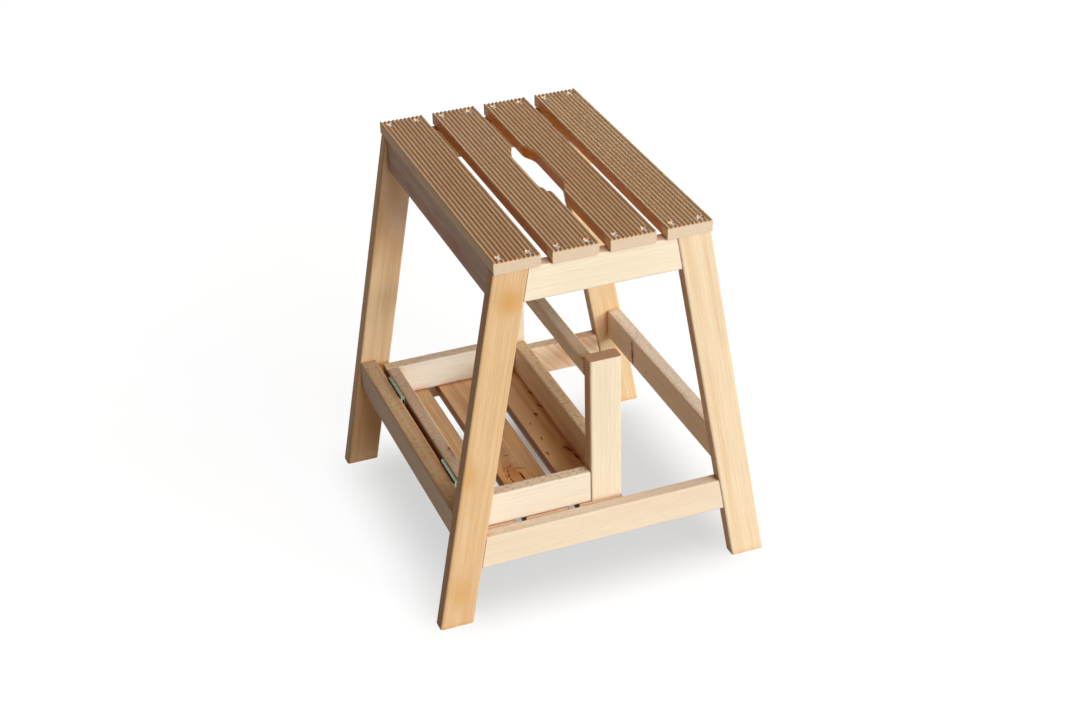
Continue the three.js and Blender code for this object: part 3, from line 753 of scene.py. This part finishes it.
# Marks that show in the photograph: place, half widths, tone, share and how far the full tone
# reaches. Millimetres, and degrees for a turn.
MARKS = {
    "tread_slat_3": [
        tone_patch((-14, 0, 103), (9, 150, TREAD_MARK_DEPTH), PALE_STAIN_AND_PAINTED_LIGHT, 0.5, 0.1),
        tone_patch((17, 20, 103), (9, 150, TREAD_MARK_DEPTH), REDDISH, 0.2, 0.0),
        stroke((16, 91), (17, 80), 3.0, KNOT_RED, 0.9),
        stroke((13.5, 60), (17.1, 46), 1.5, KNOT_RED, 1.0, 0.4),
        tone_patch((18, 57, 103), (2.4, 5, TREAD_MARK_DEPTH), PALE_STAIN_AND_PAINTED_LIGHT, 0.6, 0.1),
        tone_patch((4.3, 36.2, 103), (4.0, 8.0, TREAD_MARK_DEPTH), KNOT_RED, 0.6, 0.0),
        stroke((3.5, 38.2), (5.1, 34.2), 1.7, KNOT_CORE, 1.0, 0.5),
        tone_patch((7, 42, 103), (2.4, 3.4, TREAD_MARK_DEPTH), PALE_STAIN_AND_PAINTED_LIGHT, 0.6, 0.1),
        stroke((-9.8, 21.5), (-9.3, 17.5), 1.5, KNOT_RED, 0.9, 0.3),
        stroke((-7.8, -13), (-9.2, -20), 1.5, KNOT_RED, 0.9, 0.3),
        stroke((-15.9, -45), (-12.8, -54), 1.9, KNOT_RED, 0.85, 0.3),
        stroke((26, 60), (19, -10), 4.0, KNOT_RED, 0.4, 0.0),
        tone_patch((12, -50, 103), (9, 22, TREAD_MARK_DEPTH), KNOT_RED, 0.6, 0.0),
        stroke((6.5, -44), (12.2, -47), 1.6, KNOT_CORE, 1.0, 0.5),
        stroke((11.8, -46.5), (13.4, -56), 2.3, KNOT_CORE, 1.0, 0.6),
        stroke((13, -57), (16.5, -80), 2.2, KNOT_RED, 1.0, 0.3),
        tone_patch((17.5, -46, 103), (2.2, 7, TREAD_MARK_DEPTH), PALE_STAIN_AND_PAINTED_LIGHT, 0.6, 0.1),
    ],
    "tread_slat_2": [
        tone_patch((-58, 60, 103), (24, 60, TREAD_MARK_DEPTH), RED_STAIN, 0.4, 0.0),
        tone_patch((-66, -66, 103), (14, 30, TREAD_MARK_DEPTH), RED_STAIN, 0.6, 0.0),
        stroke((-64.4, -34.5), (-58.3, -35.3), 1.3, KNOT_CORE, 0.9, 0.3),
        stroke((-64.3, -61.5), (-47.9, -69.6), 1.4, KNOT_RED, 0.95, 0.3),
        stroke((-62.9, -53), (-70.1, -61.8), 2.0, KNOT_RED, 0.85),
        stroke((-70.1, -61.8), (-72.1, -70), 2.0, KNOT_RED, 0.9),
        stroke((-72.1, -69.5), (-73.4, -81.3), 1.8, KNOT_CORE, 0.85),
        stroke((-73.4, -81.3), (-72.6, -90), 1.8, KNOT_CORE, 0.95, 0.4),
        stroke((-70.2, -47.4), (-75.7, -69.6), 1.4, KNOT_RED, 0.7),
        stroke((-75.7, -69.6), (-77.5, -84), 1.4, KNOT_RED, 0.8),
        stroke((-59.5, -73.5), (-58, -90), 2.2, KNOT_CORE, 1.0, 0.5),
        stroke((-50, -78), (-44, -96), 1.6, KNOT_RED, 0.5),
    ],
    "tread_slat_1": [
        tone_patch((-108, -70, 103), (8, 60, TREAD_MARK_DEPTH), AMBER, 0.4, 0.0),
    ],
    "step_rail_hinge": [
        tone_patch((-137, -62, 143), (4, 22, THROUGH), KNOT_RED, 0.6, 0.0, (0, 0, 4)),
        tone_patch((-134, -84, 143), (3, 14, THROUGH), KNOT_RED, 0.6, 0.0),
        *knot((-136, -52, 143), (1.4, 3, THROUGH)),
    ],
    "step_rail_left": [
        tone_patch((-55.8, 145, 104.6), (5, THROUGH, 2.6), RED_STAIN, 0.7, 0.1),
        tone_patch((-55.8, 145, 104.4), (3.4, THROUGH, 1.9), KNOT_RED, 0.85, 0.3),
    ],
    "step_rail_rear": [
        tone_patch((30, 98, 143), (1.3, 1.8, THROUGH), KNOT_CORE, 0.7),
        tone_patch((16.5, 40, 118), (5, 120, 20), REDDISH, 0.12, 0.1),
        tone_patch((16.5, -60, 116), (5, 90, 22), REDDISH, 0.2, 0.1),
        tone_patch((16.5, 45, 106), (5, 70, 5), KNOT_RED, 0.3, 0.0),
        tone_patch((16.5, -70, 109), (5, 60, 7), KNOT_RED, 0.4, 0.0),
        # Painted highlight along the inner top edge
        tone_patch((17, 0, 143), (2, 170, 2.5), PALE_STAIN_AND_PAINTED_LIGHT, 0.7, 0.4),
    ],
    "stretcher_rear": [
        tone_patch((157, 92, 124), (THROUGH, 9, 28), KNOT_RED, 0.5, 0.0),
        tone_patch((157, 93.5, 135), (THROUGH, 2.8, 7), KNOT_CORE, 1.0, 0.5, (10, 0, 0)),
        tone_patch((157, 92, 118), (THROUGH, 3.4, 14), KNOT_CORE, 1.0, 0.5, (-6, 0, 0)),
        *knot((157, 50, 118), (THROUGH, 1.0, 1.2)),
    ],
    "step_leg_right": [
        tone_patch((-2, -146, 287), (2.4, 1.6, THROUGH), KNOT_CORE, 0.6),
        tone_patch((8, -158, 287), (12, 3, THROUGH), KNOT_RED, 0.3, 0.0),
    ],
    "leg_front_right": [
        tone_patch((-107, -191, 401), (25, THROUGH, 27), AMBER, 0.95, 0.0),
        tone_patch((-150, -191, 330), (12, THROUGH, 22), AMBER, 0.35, 0.0),
        tone_patch((-158, -191, 198), (14, THROUGH, 34), AMBER, 0.6, 0.0),
        tone_patch((-176, -191, 45), (20, THROUGH, 32), AMBER, 0.65, 0.0),
    ],
    "leg_front_left": [
        # Painted light over the cast shadow of the apron and seat slats
        tone_patch((-112, 173, 370), (34, 2, 90), PALE_STAIN_AND_PAINTED_LIGHT, 0.9, 0.4),
    ],
    "apron_front": [
        tone_patch((-122, 138, 408), (THROUGH, 30, 10), REDDISH, 0.4, 0.0, (-10, 0, 0)),
        tone_patch((-122, 84, 408), (THROUGH, 50, 16), REDDISH, 0.6, 0.0, (4, 0, 0)),
        tone_patch((-122, 10, 405), (THROUGH, 56, 16), REDDISH, 0.7, 0.0, (-4, 0, 0)),
        tone_patch((-122, -70, 405), (THROUGH, 70, 19), REDDISH, 0.8, 0.1),
        tone_patch((-122, 118, 417), (THROUGH, 14, 4), KNOT_RED, 0.55, 0.1, (16, 0, 0)),
        tone_patch((-122, 96, 411), (THROUGH, 20, 3), KNOT_RED, 0.6, 0.1, (-12, 0, 0)),
        tone_patch((-122, 44, 413), (THROUGH, 34, 3), KNOT_RED, 0.6, 0.1, (5, 0, 0)),
        tone_patch((-122, -10, 421), (THROUGH, 30, 3), KNOT_RED, 0.5, 0.1, (-3, 0, 0)),
        tone_patch((-122, -60, 414), (THROUGH, 40, 4), KNOT_RED, 0.55, 0.1),
    ],
    "seat_slat_1": [
        tone_patch((-123, 70, 442), (THROUGH, 26, 4), KNOT_RED, 0.35, 0.0),
    ],
    "seat_slat_3": [
        tone_patch((7, 58, 443), (THROUGH, 11, 8), AMBER, 1.0, 0.4),
    ],
}

BULGES = {
    "tread_slat_2": [{"at": (-62, -72, 103), "size": (16, 34, THROUGH), "push": 12}],
    "tread_slat_3": [{"at": (12, -48, 103), "size": (12, 30, THROUGH), "push": 9}],
    "step_rail_hinge": [{"at": (-140, -40, 143), "size": (14, 30, THROUGH), "push": 10}],
    "lower_rail_right": [
        {"at": (40, -189, 84), "size": (46, THROUGH, 18), "push": 12},
        {"at": (104, -189, 96), "size": (40, THROUGH, 22), "push": -9},
    ],
}

LEG_FIGURE = {
    "pith": (0.09, 0.02), "ring_width": 0.0034, "ring_depth": 0.22, "line_depth": 0.38,
    "warp": 0.008, "streak_depth": 0.3, "warm": AMBER, "cloud_depth": 0.25, "end": END_WOOD,
    "crevice_shade": LEG_CREVICE_SHADE, "finish": shaded_side((0.76, 0.72, 0.72, 1)),
}
NEAR_LEG_FIGURE = {
    **LEG_FIGURE, "worn_edge_y": LEG_OUTER_Y,
    "finish": shaded_side((0.70, 0.62, 0.58, 1), edge_y=LEG_OUTER_Y),
}
PALE_FIGURE = {
    "pith": (0.09, 0.02), "ring_width": 0.0055, "ring_depth": 0.16, "line_depth": 0.14,
    "streak_depth": 0.04, "cloud_depth": 0.12, "end": END_WOOD,
}
POST_FIGURE = {
    **PALE_FIGURE, "end": POST_END, "end_depth": 0.95,
    "finish": shaded_side((0.78, 0.62, 0.52, 1)),
}
BROWN_FIGURE = {
    "pith": (0.02, 0.07), "ring_width": 0.005, "ring_depth": 0.5, "line_depth": 0.3,
    "streak_depth": 0.35, "cloud_depth": 0.25, "end": END_WOOD, "warp": 0.014,
}
SLAT_FIGURE = {
    "pith": (0.09, 0.03), "ring_width": 0.006, "ring_depth": 0.35, "line_depth": 0.3,
    "streak_depth": 0.12, "end": SLAT_END, "end_depth": 0.9,
}
TREAD_FIGURE = {
    "pith": (0.012, 0.05), "ring_width": 0.005, "ring_depth": 0.4, "line_depth": 0.35,
    "streak_depth": 0.3, "warp": 0.02, "end": TREAD_END_PAINTED_LIGHT, "end_depth": 1.0, "warm": RED_STAIN,
    "crevice_shade": ORANGE_CREVICE_SHADE,
}

TIMBERS = {
    "leg_front_right": (
        LEG_GRAIN["front"], (srgb(234, 195, 150), srgb(206, 154, 102)), NEAR_LEG_FIGURE,
    ),
    # Paler than the other legs: painted light against the shade under the seat
    "leg_front_left": (LEG_GRAIN["front"], (srgb(254, 218, 174), srgb(234, 184, 130)), LEG_FIGURE),
    "leg_rear_right": (
        LEG_GRAIN["rear"], (srgb(248, 222, 187), srgb(230, 191, 146)), NEAR_LEG_FIGURE,
    ),
    "leg_rear_left": (LEG_GRAIN["rear"], (srgb(239, 206, 162), srgb(213, 166, 113)), LEG_FIGURE),
    "top_rail_right": (ALONG_X, RAIL, {**PALE_FIGURE, "crevice_shade": LEG_CREVICE_SHADE}),
    "top_rail_left": (ALONG_X, RAIL, PALE_FIGURE),
    "lower_rail_right": (
        ALONG_X, (srgb(241, 217, 188), srgb(224, 185, 148)),
        {
            **PALE_FIGURE, "pith": (0.01, 0.05), "warp": 0.02, "ring_width": 0.004,
            "fleck_depth": 0.5, "finish": painted_top_light_and_specks((1.02, 1.08, 1.17, 1), 0.12),
        },
    ),
    "lower_rail_left": (
        Vector((1, 0, -1.1)), (srgb(248, 224, 192), srgb(222, 170, 122)),
        {
            **PALE_FIGURE, "ring_depth": 0.6, "ring_width": 0.007, "end_depth": 0.0,
            "finish": painted_top_light_and_specks((1.02, 1.06, 1.09, 1), 0.1),
        },
    ),
    "step_rail_right": (
        ALONG_X, (srgb(240, 222, 199), srgb(222, 188, 152)),
        {**PALE_FIGURE, "finish": painted_top_light_and_specks((1.02, 1.02, 1.0, 1), 0.5)},
    ),
    # Paler than the near step rail: painted light, as this rail lies in the step's shade
    "step_rail_left": (
        ALONG_X, (srgb(254, 238, 214), srgb(234, 204, 168)),
        {**PALE_FIGURE, "finish": painted_top_light_and_specks((1.0, 0.92, 0.82, 1), 0.3)},
    ),
    "step_leg_right": (ALONG_Z, (srgb(243, 223, 194), srgb(222, 186, 143)), POST_FIGURE),
    "step_leg_left": (ALONG_Z, (srgb(246, 226, 196), srgb(224, 188, 144)), POST_FIGURE),
    "apron_front": (
        ALONG_Y, (srgb(202, 178, 158), srgb(164, 124, 100)),
        {**BROWN_FIGURE, "streak_depth": 0.55, "cloud_depth": 0.45, "warm": REDDISH},
    ),
    "apron_rear": (ALONG_Y, RAIL, BROWN_FIGURE),
    "stretcher_front": (
        ALONG_Y, (srgb(238, 212, 180), srgb(214, 174, 132)),
        {**BROWN_FIGURE, "finish": shaded_side((0.84, 0.84, 0.86, 1), ((0.98, 0.96, 0.93, 1), 0.35))},
    ),
    "stretcher_rear": (
        ALONG_Y, (srgb(254, 240, 222), srgb(236, 204, 172)),
        {**BROWN_FIGURE, "streak_depth": 0.1, "finish": painted_top_light_and_specks((1.02, 1.06, 1.1, 1), 0.25)},
    ),
    "step_rail_hinge": (
        ALONG_Y, (srgb(248, 224, 196), srgb(218, 180, 144)),
        {
            **BROWN_FIGURE, "streak_depth": 0.12, "warp": 0.02,
            "finish": painted_top_light_and_specks((0.90, 0.90, 0.92, 1), 0.35),
        },
    ),
    "step_rail_rear": (
        ALONG_Y, (srgb(255, 240, 216), srgb(240, 208, 172)),
        {
            **BROWN_FIGURE, "crevice_shade": ORANGE_CREVICE_SHADE, "streak_depth": 0.2,
            "finish": painted_top_light_and_specks((0.82, 0.75, 0.64, 1), 0.5),
        },
    ),
    "step_foot_bar": (
        ALONG_Y, (srgb(255, 238, 210), srgb(234, 200, 160)),
        {**BROWN_FIGURE, "streak_depth": 0.15, "finish": painted_top_light_and_specks((0.64, 0.63, 0.62, 1), 0.3)},
    ),
}


# Seeds of the slats' figures begin here, after those of the timbers
SEAT_SEED = 30
TREAD_SEED = 40


def dress_timbers():
    for seed, (name, (grain, tones, figure)) in enumerate(TIMBERS.items(), start=1):
        dress_wood(
            name, grain, tones, seed,
            marks=MARKS.get(name, ()), bulges=BULGES.get(name, ()), **figure,
        )
    for index in range(1, 5):
        name = f"seat_slat_{index}"
        finish = slat_finish(middle_of(name).x, SEAT_RIB_HIGH, SEAT_RIB_LOW, SEAT_HOLE_Y, seat=True)
        dress_wood(
            name, ALONG_Y, SEAT_SLATS[index - 1], SEAT_SEED + index,
            marks=MARKS.get(name, ()), finish=finish, **SLAT_FIGURE,
        )
    for index in range(1, 4):
        name = f"tread_slat_{index}"
        finish = slat_finish(middle_of(name).x, TREAD_RIB_HIGH, TREAD_RIB_LOW, TREAD_HOLE_Y)
        dress_wood(
            name, ALONG_Y, TREAD_SLATS[index - 1], TREAD_SEED + index,
            marks=MARKS.get(name, ()), bulges=BULGES.get(name, ()), finish=finish, **TREAD_FIGURE,
        )


# Cross-head wood screws. Lengths in millimetres, the head flat at z = 0.
SCREW_HEAD_RADIUS = 3.55
SCREW_BEVEL = 0.3
SCREW_BEVEL_DEPTH = 0.1
SCREW_CORNER = 0.05
SCREW_RIM_DEPTH = 0.4
SCREW_HEAD_DEPTH = 2.6
SCREW_SHANK_RADIUS = 1.7
SCREW_LENGTH = 26
SCREW_TIP = 3
SCREW_TIP_RADIUS = 0.25
CROSS_ARM = 2.1
CROSS_HALF_WIDTH = 0.48
CROSS_DEPTH = 1.9
CROSS_LIP = 0.1
CROSS_LIP_DEPTH = 0.25
# The slot's width below its lip and at its floor, and its deepest point, as shares
CROSS_UPPER_SHARE = 0.92
CROSS_FLOOR_SHARE = 0.45
CROSS_POINT_SHARE = 1.15
# Degrees between the turns of one screw and the next
SCREW_TURN = 37


def cross_reach(angle):
    """How far the cross slot reaches from the middle of the head in a direction."""
    along = abs(math.cos(angle))
    side = abs(math.sin(angle))
    tiny = 1e-9
    wide = min(CROSS_ARM / max(along, tiny), CROSS_HALF_WIDTH / max(side, tiny))
    tall = min(CROSS_HALF_WIDTH / max(along, tiny), CROSS_ARM / max(side, tiny))
    return max(wide, tall)


def cross_angles():
    """Directions round the head, with every corner of the cross among them."""
    corner = math.atan2(CROSS_HALF_WIDTH, CROSS_ARM)
    quarter = []
    for step in range(3):
        quarter.append(corner * step / 3)
    for step in range(5):
        quarter.append(corner + (math.pi / 4 - corner) * step / 5)
    for step in range(5):
        quarter.append(math.pi / 4 + (math.pi / 4 - corner) * step / 5)
    for step in range(3):
        quarter.append(math.pi / 2 - corner + corner * step / 3)
    return [turn * math.pi / 2 + angle for turn in range(4) for angle in quarter]


def make_screw_mesh():
    angles = cross_angles()
    head = SCREW_HEAD_RADIUS
    shank = SCREW_SHANK_RADIUS
    rings = [
        ([cross_reach(angle) * CROSS_FLOOR_SHARE for angle in angles], -CROSS_DEPTH),
        ([cross_reach(angle) * CROSS_UPPER_SHARE for angle in angles], -CROSS_LIP_DEPTH),
        ([cross_reach(angle) + CROSS_LIP for angle in angles], 0.0),
        ([head - SCREW_BEVEL] * len(angles), 0.0),
        ([head - SCREW_CORNER] * len(angles), -SCREW_BEVEL_DEPTH),
        ([head] * len(angles), -SCREW_RIM_DEPTH),
        ([shank] * len(angles), -SCREW_HEAD_DEPTH),
        ([shank] * len(angles), SCREW_TIP - SCREW_LENGTH),
        ([SCREW_TIP_RADIUS] * len(angles), -SCREW_LENGTH),
    ]
    points = []
    for reaches, height in rings:
        for reach, angle in zip(reaches, angles):
            points.append(
                (reach * math.cos(angle) * MM, reach * math.sin(angle) * MM, height * MM)
            )
    count = len(angles)
    faces = []
    for ring in range(len(rings) - 1):
        for index in range(count):
            following = (index + 1) % count
            here = ring * count
            beyond = here + count
            faces.append((here + following, here + index, beyond + index, beyond + following))
    points.append((0, 0, -CROSS_DEPTH * CROSS_POINT_SHARE * MM))
    points.append((0, 0, -SCREW_LENGTH * MM))
    last = (len(rings) - 1) * count
    for index in range(count):
        following = (index + 1) % count
        faces.append((index, following, len(points) - 2))
        faces.append((last + following, last + index, len(points) - 1))
    mesh = bpy.data.meshes.new("cross_screw")
    mesh.from_pydata(points, [], faces)
    mesh.validate()
    mesh.update()
    return mesh


def make_screws(material):
    mesh = make_screw_mesh()
    mesh.materials.append(material)
    names = sorted(name for name in nodes if "_screw_" in name)
    for order, name in enumerate(names):
        low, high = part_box(name)
        middle = (low + high) / 2
        seat = name.startswith("seat")
        piece = bpy.data.objects.new(f"{name}_cross_head", mesh)
        scene.collection.objects.link(piece)
        spin = Matrix.Rotation(math.radians(SCREW_TURN * order), 4, "Z")
        flip = Matrix.Identity(4) if seat else Matrix.Rotation(math.pi, 4, "X")
        place = Matrix.Translation((middle.x, middle.y, high.z if seat else low.z))
        piece.matrix_world = place @ flip @ spin
        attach(piece, "stool_frame" if seat else "step_unit")
        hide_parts(name)
        soften(piece, SMOOTHING)


HINGE_ZINC = srgb(138, 150, 136)
HINGE_ROUGHNESS = 0.22
SCREW_ZINC = srgb(214, 222, 234)
SCREW_ROUGHNESS = 0.24


def dress_metals():
    zinc = metal("zinc_plate", HINGE_ZINC, HINGE_ROUGHNESS, HINGE_CREVICE_SHADE, side_shade_and_highlight=True)
    bright = metal("zinc_bright", SCREW_ZINC, SCREW_ROUGHNESS, SCREW_CREVICE_SHADE)
    for name in nodes:
        if name.startswith("hinge_"):
            dress(name, bright if name.endswith("_pin") else zinc)
        if "_screw_" in name:
            dress(name, bright)
    make_screws(bright)


# Floor, world and lamps. A ray that shows or mirrors the background sees it white.


def background_rays(tree):
    """1 for camera, glossy and transmission rays, else 0."""
    path = add_node(tree, "ShaderNodeLightPath").outputs
    seen = math_node(tree, "MAXIMUM", path["Is Camera Ray"], path["Is Glossy Ray"])
    return math_node(tree, "MAXIMUM", seen, path["Is Transmission Ray"])


# Metres. The floor lies a hair under the feet.
FLOOR_REACH = 20.0
FLOOR_DROP = 0.0003
FOOT_X = 0.19
FOOT_Y = 0.185
SHADOW_BLUR = 0.055
SHADOW_LEVEL = 0.66
FLOOR_GLOW = 0.93
FLOOR_CATCH = (0.16, 0.16, 0.16, 1)
FLOOR_PAPER = (0.60, 0.51, 0.42, 1)
# Shade below the folded step, in millimetres
STEP_SHADES = [
    tone_patch((30, 104, 0), (36, 180, THROUGH), srgb(134, 118, 106), 0.85, 0.1),
    tone_patch((-12, -27, 0), (90, 52, THROUGH), srgb(146, 136, 130), 0.85, 0.0),
]


def make_floor():
    mesh = bpy.data.meshes.new("floor")
    half = FLOOR_REACH
    low = -FLOOR_DROP
    corners = [(-half, -half, low), (half, -half, low), (half, half, low), (-half, half, low)]
    mesh.from_pydata(corners, [], [(0, 1, 2, 3)])
    floor = bpy.data.objects.new("floor", mesh)
    scene.collection.objects.link(floor)
    material = bpy.data.materials.new("floor_paper")
    material.use_nodes = True
    tree = material.node_tree
    tree.nodes.clear()
    coords = add_node(tree, "ShaderNodeTexCoord").outputs["Object"]
    parts = add_node(tree, "ShaderNodeSeparateXYZ", {0: coords}).outputs
    # A soft patch of shade between the feet
    along_x = math_node(tree, "ABSOLUTE", parts[0])
    along_y = math_node(tree, "ABSOLUTE", parts[1])
    inside_x = smooth_range(tree, along_x, FOOT_X - SHADOW_BLUR, FOOT_X + SHADOW_BLUR, 1.0, 0.0)
    inside_y = smooth_range(tree, along_y, FOOT_Y - SHADOW_BLUR, FOOT_Y + SHADOW_BLUR, 1.0, 0.0)
    inside = math_node(tree, "MULTIPLY", inside_x, inside_y)
    level = add_node(
        tree, "ShaderNodeMapRange", {0: inside, 1: 0.0, 2: 1.0, 3: 1.0, 4: SHADOW_LEVEL}
    ).outputs[0]
    shade = add_node(tree, "ShaderNodeCombineColor", {0: level, 1: level, 2: level}).outputs[0]
    shade = draw_marks(tree, coords, shade, STEP_SHADES)
    glow = add_node(tree, "ShaderNodeEmission", {"Color": shade, "Strength": FLOOR_GLOW})
    dim = mix_colors(tree, 1.0, shade, FLOOR_CATCH, "MULTIPLY")
    catcher = add_node(tree, "ShaderNodeBsdfDiffuse", {"Color": dim})
    seen = add_node(tree, "ShaderNodeAddShader", {0: glow.outputs[0], 1: catcher.outputs[0]})
    plain = add_node(tree, "ShaderNodeBsdfDiffuse", {"Color": FLOOR_PAPER})
    surface = add_node(
        tree,
        "ShaderNodeMixShader",
        {0: background_rays(tree), 1: plain.outputs[0], 2: seen.outputs[0]},
    )
    add_node(tree, "ShaderNodeOutputMaterial", {"Surface": surface.outputs[0]})
    mesh.materials.append(material)


WORLD_LEVEL = 0.01
WORLD_TINT = (0.95, 0.97, 1.0, 1)


def make_world():
    world = bpy.data.worlds.new("studio")
    scene.world = world
    world.use_nodes = True
    tree = world.node_tree
    tree.nodes.clear()
    fill = add_node(tree, "ShaderNodeBackground", {"Color": WORLD_TINT})
    fill.inputs["Strength"].default_value = WORLD_LEVEL
    white = add_node(tree, "ShaderNodeBackground", {"Color": (1, 1, 1, 1)})
    white.inputs["Strength"].default_value = 1.0
    mixed = add_node(
        tree,
        "ShaderNodeMixShader",
        {0: background_rays(tree), 1: fill.outputs[0], 2: white.outputs[0]},
    )
    add_node(tree, "ShaderNodeOutputWorld", {"Surface": mixed.outputs[0]})


# Far lamps: bearing from the right side (-Y) towards the rear (+X), height above the floor,
# both in degrees, and colour. A colour of 1 lights a face square to the lamp at its own colour.
LAMPS = {
    "key": (30, 15, (0.30, 0.45, 0.52)),
    "key_right": (60, 15, (0.36, 0.36, 0.36)),
    "front": (8, 30, (0.23, 0.27, 0.36)),
    "warm_front": (30, 38, (0.25, 0.17, 0.09)),
    "warm_high": (0, 47, (0.12, 0.09, 0.04)),
    "rear": (135, 20, (0.09, 0.05, 0.02)),
    "back": (180, 4, (0.25, 0.25, 0.25)),
}
LAMP_SPREAD = 18
FILL_PLACE = Vector((-0.95, 0.75, 0.42))
FILL_AIM = Vector((-0.1, 0.15, 0.35))
FILL_SIZE = 0.5
FILL_POWER = 0.1
FILL_COLOR = (0.82, 0.95, 1.0)


def make_lamps():
    for name, (bearing, height, color) in LAMPS.items():
        towards = direction(math.radians(bearing), math.radians(height))
        data = bpy.data.lights.new(name, "SUN")
        strongest = max(color)
        data.energy = strongest * math.pi
        data.color = [value / strongest for value in color]
        data.angle = math.radians(LAMP_SPREAD)
        lamp = bpy.data.objects.new(name, data)
        scene.collection.objects.link(lamp)
        lamp.rotation_euler = towards.to_track_quat("Z", "Y").to_euler()
    data = bpy.data.lights.new("fill", "AREA")
    data.shape = "SQUARE"
    data.size = FILL_SIZE
    data.energy = FILL_POWER
    data.color = FILL_COLOR
    lamp = bpy.data.objects.new("fill", data)
    scene.collection.objects.link(lamp)
    lamp.location = FILL_PLACE
    lamp.rotation_euler = (FILL_PLACE - FILL_AIM).to_track_quat("Z", "Y").to_euler()


SMOOTHING = make_smoothing()
make_camera()
dress_timbers()
dress_metals()
for part in nodes.values():
    soften(part, SMOOTHING)
make_floor()
make_world()
make_lamps()
scene.view_settings.view_transform = "Standard"
